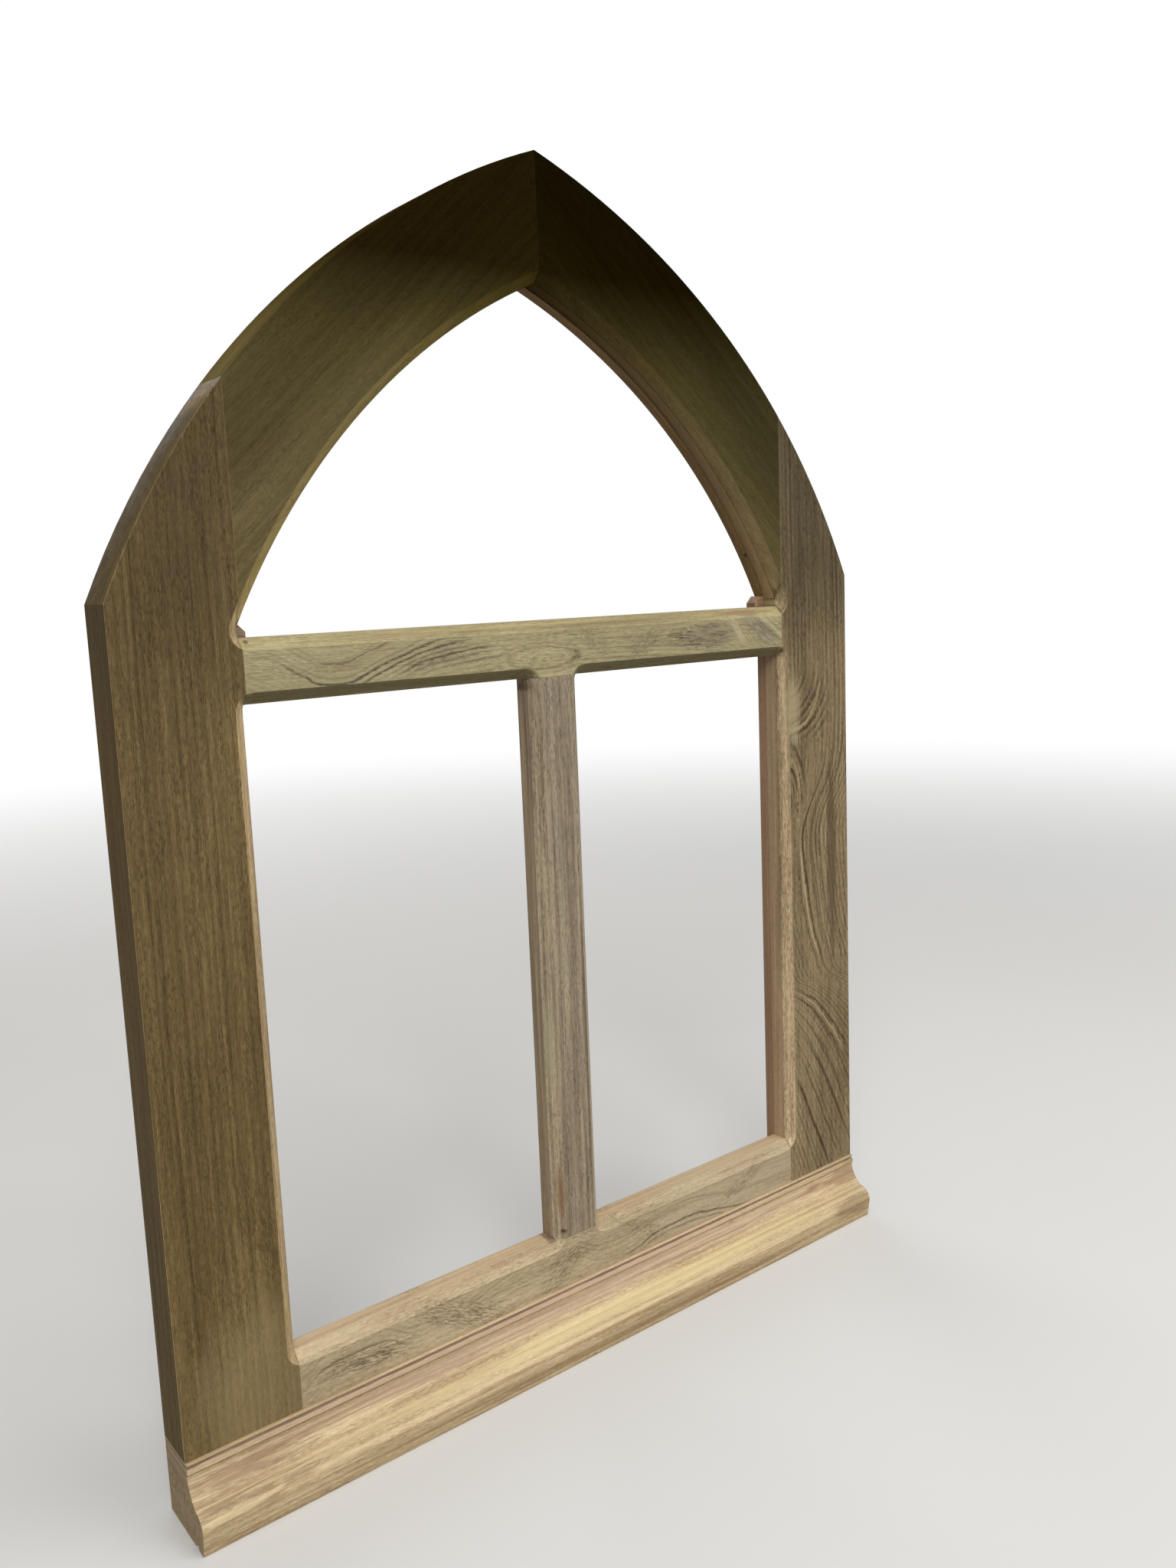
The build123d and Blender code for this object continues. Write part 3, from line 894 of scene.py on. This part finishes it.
SILL = Board(
    "sill_golden", GOLDEN, GrainRun.LEVEL, heart=(0, 30, -260), ring_gap=9, ring_depth=0.26, wander=6,
    streaks=1.425, pores=0.35, ripple=0.05, bevel_fresh_and_lit=(1, 1, 1), reveal_fresh_and_lit=(1, 1, 1), grit=0.7,
    stains_and_light=(
        # These two darken the top of the cove as painted shade.
        StainAndPaintedLight((0, 46), (700, 14), (174, 146, 119), 0.7, dash=(150, 4)),
        StainAndPaintedLight((0, 46), (700, 12), (194, 169, 141), 0.5),
        StainAndPaintedLight((0, 58), (700, 7), (214, 183, 157), 0.75),
        # Dark lines in the two quirks of the beads: painted shade.
        StainAndPaintedLight((0, 59.2), (2000, 1.6), (104, 86, 63), 0.65),
        StainAndPaintedLight((0, 52.8), (2000, 1.6), (124, 104, 77), 0.55),
        StainAndPaintedLight((140, 43), (150, 4.5), (158, 128, 106), 0.7, dash=(60, 2.2)),
        StainAndPaintedLight((0, 44), (900, 8), (152, 118, 88), 0.7, dash=(220, 1.3)),
        # Pale band along the top of the nose: painted highlight.
        StainAndPaintedLight((60, 31), (420, 6.5), (228, 210, 158), 0.55),
        StainAndPaintedLight((0, 8), (900, 9), (150, 122, 80), 0.7, dash=(200, 2.4)),
        StainAndPaintedLight((0, 22), (500, 3), (160, 132, 92), 0.6, dash=(120, 2.4)),
        StainAndPaintedLight((-60, 8), (140, 3.5), (150, 122, 84), 0.6, dash=(70, 1.8)),
        StainAndPaintedLight((310, 44), (46, 9), (148, 104, 74), 0.7, dash=(30, 3)),
        StainAndPaintedLight((-340, 34), (110, 26), (150, 124, 90), 0.7, dash=(60, 5)),
        StainAndPaintedLight((-330, 42), (90, 12), (160, 130, 98), 0.5),
        StainAndPaintedLight((350, 20), (60, 16), (136, 112, 78), 0.6),
        StainAndPaintedLight((372, 46), (80, 20), (150, 116, 84), 0.55),
    ),
)
LEFT_ARCH = Board(
    "left_arch_shaded", SHADED, GrainRun.RISING, heart=(-380, 90, 980), ring_gap=9, ring_depth=0.16,
    wander=8, streaks=0.45, pores=0.3, ripple=0.06, bevel_fresh_and_lit=(2.4, 2.4, 2.15),
    reveal_fresh_and_lit=(2.4, 2.3, 2.1), grit=0.5, shading_up=1, gloss=0, shade_rim=0.3,
)
RIGHT_ARCH = Board(
    "right_arch_shaded", SHADED_DEEPER, GrainRun.FALLING, heart=(400, 70, 990), ring_gap=10, ring_depth=0.16,
    wander=8, streaks=0.45, pores=0.3, ripple=0.06, bevel_fresh_and_lit=(2.2, 2, 2.4),
    reveal_fresh_and_lit=(4.3, 3.7, 5), grit=0.5, shading_up=1, gloss=0, shade_rim=0.4,
)

JAMB_BEAD = Board(
    "bead_russet", RUSSET, GrainRun.UPRIGHT, heart=(-500, 100, 300), ring_gap=6, ring_depth=0.25,
)
LEFT_ARCH_BEAD = Board(
    "left_arch_bead_amber", AMBER, GrainRun.RISING, heart=(-380, 90, 940), ring_gap=7, ring_depth=0.2,
)
RIGHT_ARCH_BEAD = Board(
    "right_arch_bead_amber", AMBER, GrainRun.FALLING, heart=(380, 90, 940), ring_gap=7, ring_depth=0.2,
    # Dark spot round the pin: painted shade of its punched hole.
    stains_and_light=(StainAndPaintedLight((256.6, 718.3), (3, 3), (34, 22, 12), 1, depth=(17.6, 3)),),
)
CORNER_BLOCK = Board(
    "block_russet", RUSSET, GrainRun.LEVEL, heart=(0, 90, 600), ring_gap=5, ring_depth=0.25,
)
TONGUE = Board(
    "tongue_golden", GOLDEN, GrainRun.UPRIGHT, heart=(0, 90, 600), ring_gap=5, ring_depth=0.25,
)


@dataclass
class Members:
    """Timber members of the frame, each CAD node dressed with its own board."""

    arris: float = 0.5
    boards: dict[str, Board] = field(default_factory=lambda: {
        "transom": TRANSOM, "mullion": MULLION, "left_jamb": LEFT_JAMB, "right_jamb": RIGHT_JAMB,
        "bottom_rail": BOTTOM_RAIL, "sill": SILL, "left_arch": LEFT_ARCH, "right_arch": RIGHT_ARCH,
    })

    def dress(self) -> None:
        """Give each member its board and ease its arrises."""
        for node, board in self.boards.items():
            put_on(node, board.material())
            ease(node, self.arris)


@dataclass
class SmallPieces:
    """Beads, corner blocks and the tongues inside the joints."""

    arris: float = 0.4
    boards: dict[Board, tuple[str, ...]] = field(default_factory=lambda: {
        JAMB_BEAD: ("left_jamb_bead", "right_jamb_bead"),
        CORNER_BLOCK: ("left_corner_block", "right_corner_block"),
        TONGUE: ("left_springing_tongue", "right_springing_tongue", "apex_tongue", "sill_tongue"),
        LEFT_ARCH_BEAD: ("left_arch_bead",),
        RIGHT_ARCH_BEAD: ("right_arch_bead",),
    })

    def dress(self) -> None:
        """Give the small pieces their boards, one to all of a kind, and ease their arrises."""
        for board, nodes in self.boards.items():
            finish = board.material()
            for node in nodes:
                put_on(node, finish)
                ease(node, self.arris)


@dataclass
class BeadPins:
    """Punched pins that hold the curved beads."""

    radius: float = 1.1
    length: float = 6.0
    proud: float = 0.15
    dimple: float = 0.45
    sides: int = 24
    rounding: float = 0.22
    rim: float = 0.3
    dimple_taper: float = 0.5
    crease_angle: float = 40.0
    arc_radius: float = 553.0
    height: float = 718.3
    depth: float = 17.6

    def build(self) -> None:
        """Model the pin in the right bead and copy it to the left one."""
        pin = self.model()
        across, up = HEAD_CENTRE
        rise = self.height - up
        reach = (self.arc_radius ** 2 - rise ** 2) ** 0.5
        surface = Vector(((across + reach) * MM, self.depth * MM, self.height * MM))
        inward = Vector((-reach, 0.0, -rise)).normalized()
        brass = BrassPin().material()
        for side, flip in (("right", 1.0), ("left", -1.0)):
            copy = pin.copy()
            copy.data = pin.data.copy()
            copy.name = f"{side}_arch_bead_pin"
            bpy.context.scene.collection.objects.link(copy)
            facing = Vector((inward.x * flip, inward.y, inward.z))
            place = Vector((surface.x * flip, surface.y, surface.z))
            turn = facing.to_track_quat("Z", "Y").to_matrix().to_4x4()
            copy.matrix_world = Matrix.Translation(place) @ turn
            settle(copy)
            copy.data.materials.append(brass)
            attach(copy, "root")
            LOG.info("%s at %.1f mm up", copy.name, self.height)
        bpy.data.objects.remove(pin)

    def model(self) -> bpy.types.Object:
        """Model one pin, its head up and its rim level with the bead's surface.

        Returns:
            The pin, at the origin.
        """
        bpy.ops.object.select_all(action="DESELECT")
        top = self.proud - self.length / 2
        bpy.ops.mesh.primitive_cylinder_add(
            vertices=self.sides, radius=self.radius * MM, depth=self.length * MM,
            location=(0.0, 0.0, top * MM),
        )
        pin = bpy.context.object
        bpy.ops.object.mode_set(mode="EDIT")
        bpy.ops.mesh.select_mode(type="FACE")
        self.select_head(pin)
        bpy.ops.mesh.bevel(offset=self.rounding * MM, segments=3, affect="EDGES")
        self.select_head(pin)
        bpy.ops.mesh.inset(thickness=self.rim * MM)
        bpy.ops.mesh.extrude_region_move(TRANSFORM_OT_translate={"value": (0.0, 0.0, -self.dimple * MM)})
        bpy.ops.transform.resize(value=(self.dimple_taper, self.dimple_taper, 1.0))
        bpy.ops.object.mode_set(mode="OBJECT")
        bpy.ops.object.transform_apply(location=True, rotation=True, scale=True)
        bpy.ops.object.shade_smooth_by_angle(angle=radians(self.crease_angle))
        return pin

    def select_head(self, pin: bpy.types.Object) -> None:
        """Select the flat top of the pin.

        Args:
            pin: The pin, in edit mode.
        """
        bpy.ops.mesh.select_all(action="DESELECT")
        bpy.ops.object.mode_set(mode="OBJECT")
        highest = max(face.center.z for face in pin.data.polygons)
        for face in pin.data.polygons:
            face.select = face.center.z > highest - 0.01 * MM and face.normal.z > 0.99
        bpy.ops.object.mode_set(mode="EDIT")


def settle(piece: bpy.types.Object) -> None:
    """Move a piece's place into its mesh, so that its object sits at the origin."""
    piece.data.transform(piece.matrix_world)
    piece.matrix_world = Matrix.Identity(4)


def ease(node: str, width: float) -> None:
    """Ease the sharp arrises of a CAD node, as sandpaper does.

    Args:
        node: Name of the node.
        width: Width of the eased edge in millimetres.
    """
    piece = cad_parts[node]
    weld = piece.modifiers.new("joined_faces", "WELD")
    weld.merge_threshold = JOIN_DISTANCE * MM
    easing = piece.modifiers.new("eased_arris", "BEVEL")
    easing.width = width * MM
    easing.segments = 2
    easing.limit_method = "ANGLE"
    easing.angle_limit = radians(ARRIS_ANGLE)
    easing.use_clamp_overlap = False
    easing.harden_normals = True


def put_on(node: str, material: bpy.types.Material) -> None:
    """Put a material on a CAD node.

    Args:
        node: Name of the node.
        material: Its finish.
    """
    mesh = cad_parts[node].data
    if not mesh.materials:
        mesh.materials.append(material)
    for index in range(len(mesh.materials)):
        mesh.materials[index] = material
    LOG.info("%s: %s", node, material.name)


@dataclass(frozen=True)
class Lamp:
    """Square lamp, with its place and side in metres and its power in watts."""

    name: str
    place: Place
    side: float
    power: float

    def hang(self, aim: Place) -> None:
        """Hang the lamp.

        Args:
            aim: Point that it faces, in metres.
        """
        light = bpy.data.lights.new(self.name, "AREA")
        light.size = self.side
        light.energy = self.power
        holder = bpy.data.objects.new(self.name, light)
        bpy.context.scene.collection.objects.link(holder)
        holder.location = self.place
        toward = Vector(aim) - Vector(self.place)
        holder.rotation_euler = toward.to_track_quat("-Z", "Y").to_euler()


@dataclass
class Studio:
    """Pale floor, a white surround and soft lamps."""

    floor_radius: float = 9.0
    floor_inset: float = 4.5
    floor_sides: int = 96
    floor_fade: Spot = (1.2, 4.5)
    floor_mottle: float = 900.0
    floor_pale: Tint = tint((226, 225, 222))
    floor_deep: Tint = tint((220, 219, 216))
    floor_bounce: Tint = tint((150, 149, 147))
    surround_light: float = 0.28
    aim: Place = (0.0, 0.0, 0.5)
    lamps: tuple[Lamp, ...] = (
        Lamp("key_lamp", (-2.4, -3.4, 4.2), 2.8, 140.0),
        Lamp("sky_lamp", (0.2, -1.0, 4.6), 3.0, 50.0),
        Lamp("fill_lamp", (2.2, -2.4, 1.6), 2.0, 36.0),
        Lamp("bounce_lamp", (0.4, -2.0, 0.6), 0.6, 8.0),
        Lamp("room_lamp", (0.6, 2.8, 2.2), 2.0, 20.0),
    )

    def build(self) -> None:
        """Lay the floor, set the world and hang the lamps."""
        self.lay_floor()
        self.set_world()
        for lamp in self.lamps:
            lamp.hang(self.aim)

    def lay_floor(self) -> None:
        """Lay a round floor that fades into the surround far from the frame."""
        bpy.ops.object.select_all(action="DESELECT")
        bpy.ops.mesh.primitive_circle_add(
            vertices=self.floor_sides, radius=1.0, fill_type="NGON", location=(0.0, 0.0, 0.0),
        )
        floor = bpy.context.object
        floor.name = "floor"
        bpy.ops.object.mode_set(mode="EDIT")
        bpy.ops.mesh.select_all(action="SELECT")
        bpy.ops.transform.resize(value=(self.floor_radius, self.floor_radius, 1.0))
        bpy.ops.mesh.inset(thickness=self.floor_inset)
        bpy.ops.object.mode_set(mode="OBJECT")
        bench = Bench("floor_pale")
        mottle = bench.noise(bench.place, self.floor_mottle, self.floor_mottle, 3.0)
        seen = bench.add("ShaderNodeLightPath").outputs["Is Camera Ray"]
        pale = bench.blend(mottle, self.floor_pale, self.floor_deep)
        colour = bench.blend(seen, self.floor_bounce, pale)
        matt = bench.add("ShaderNodeBsdfDiffuse", {"Color": colour}).outputs[0]
        glow = bench.add("ShaderNodeEmission").outputs[0]
        far = bench.product(bench.remap(bench.length(bench.place), *self.floor_fade), seen)
        mixed = bench.add("ShaderNodeMixShader", {0: far, 1: matt, 2: glow})
        bench.add("ShaderNodeOutputMaterial", {"Surface": mixed.outputs[0]})
        floor.data.materials.append(bench.material)

    def set_world(self) -> None:
        """Light softly from all round, and show white to the camera and to rays passing through surfaces."""
        world = bpy.data.worlds.new("surround")
        bpy.context.scene.world = world
        world.use_nodes = True
        tray = NodeTray(world.node_tree)
        rays = tray.add("ShaderNodeLightPath").outputs
        seen = tray.add(
            "ShaderNodeMath", {0: rays["Is Camera Ray"], 1: rays["Is Transmission Ray"]}, operation="MAXIMUM"
        )
        soft = tray.add("ShaderNodeBackground", {"Color": WHITE, "Strength": self.surround_light})
        white = tray.add("ShaderNodeBackground", {"Color": WHITE})
        feeds = {0: seen.outputs[0], 1: soft.outputs[0], 2: white.outputs[0]}
        mixed = tray.add("ShaderNodeMixShader", feeds)
        tray.add("ShaderNodeOutputWorld", {"Surface": mixed.outputs[0]})


@dataclass
class StandingView:
    """Camera to the left of the frame and a little above its middle, looking slightly down."""

    place: Place = (-0.640577, -0.870838, 0.694654)
    right: Place = (0.78571631, -0.61732061, -0.03956197)
    upward: Place = (0.12029845, 0.08975342, 0.98867214)
    forward: Place = (0.60677687, 0.78157507, -0.14478344)
    lens: float = 38.27
    sensor_width: float = 36.0
    shift: float = -0.0130
    nearest: float = 0.02

    def build(self) -> None:
        """Set up the camera and make it the scene's own."""
        camera = bpy.data.cameras.new("view")
        camera.sensor_fit = "HORIZONTAL"
        camera.sensor_width = self.sensor_width
        camera.lens = self.lens
        camera.shift_y = self.shift
        camera.clip_start = self.nearest
        holder = bpy.data.objects.new("view", camera)
        bpy.context.scene.collection.objects.link(holder)
        backward = -Vector(self.forward)
        turn = Matrix((self.right, self.upward, backward)).transposed()
        holder.matrix_world = Matrix.Translation(self.place) @ turn.to_4x4()
        bpy.context.scene.camera = holder


def main() -> None:
    """Dress the frame, light it and set the view."""
    logging.basicConfig(level=logging.INFO, format="%(message)s")
    StandingView().build()
    Members().dress()
    SmallPieces().dress()
    BeadPins().build()
    Studio().build()
    bpy.context.scene.view_settings.view_transform = "Standard"


if __name__ == "__main__":
    main()
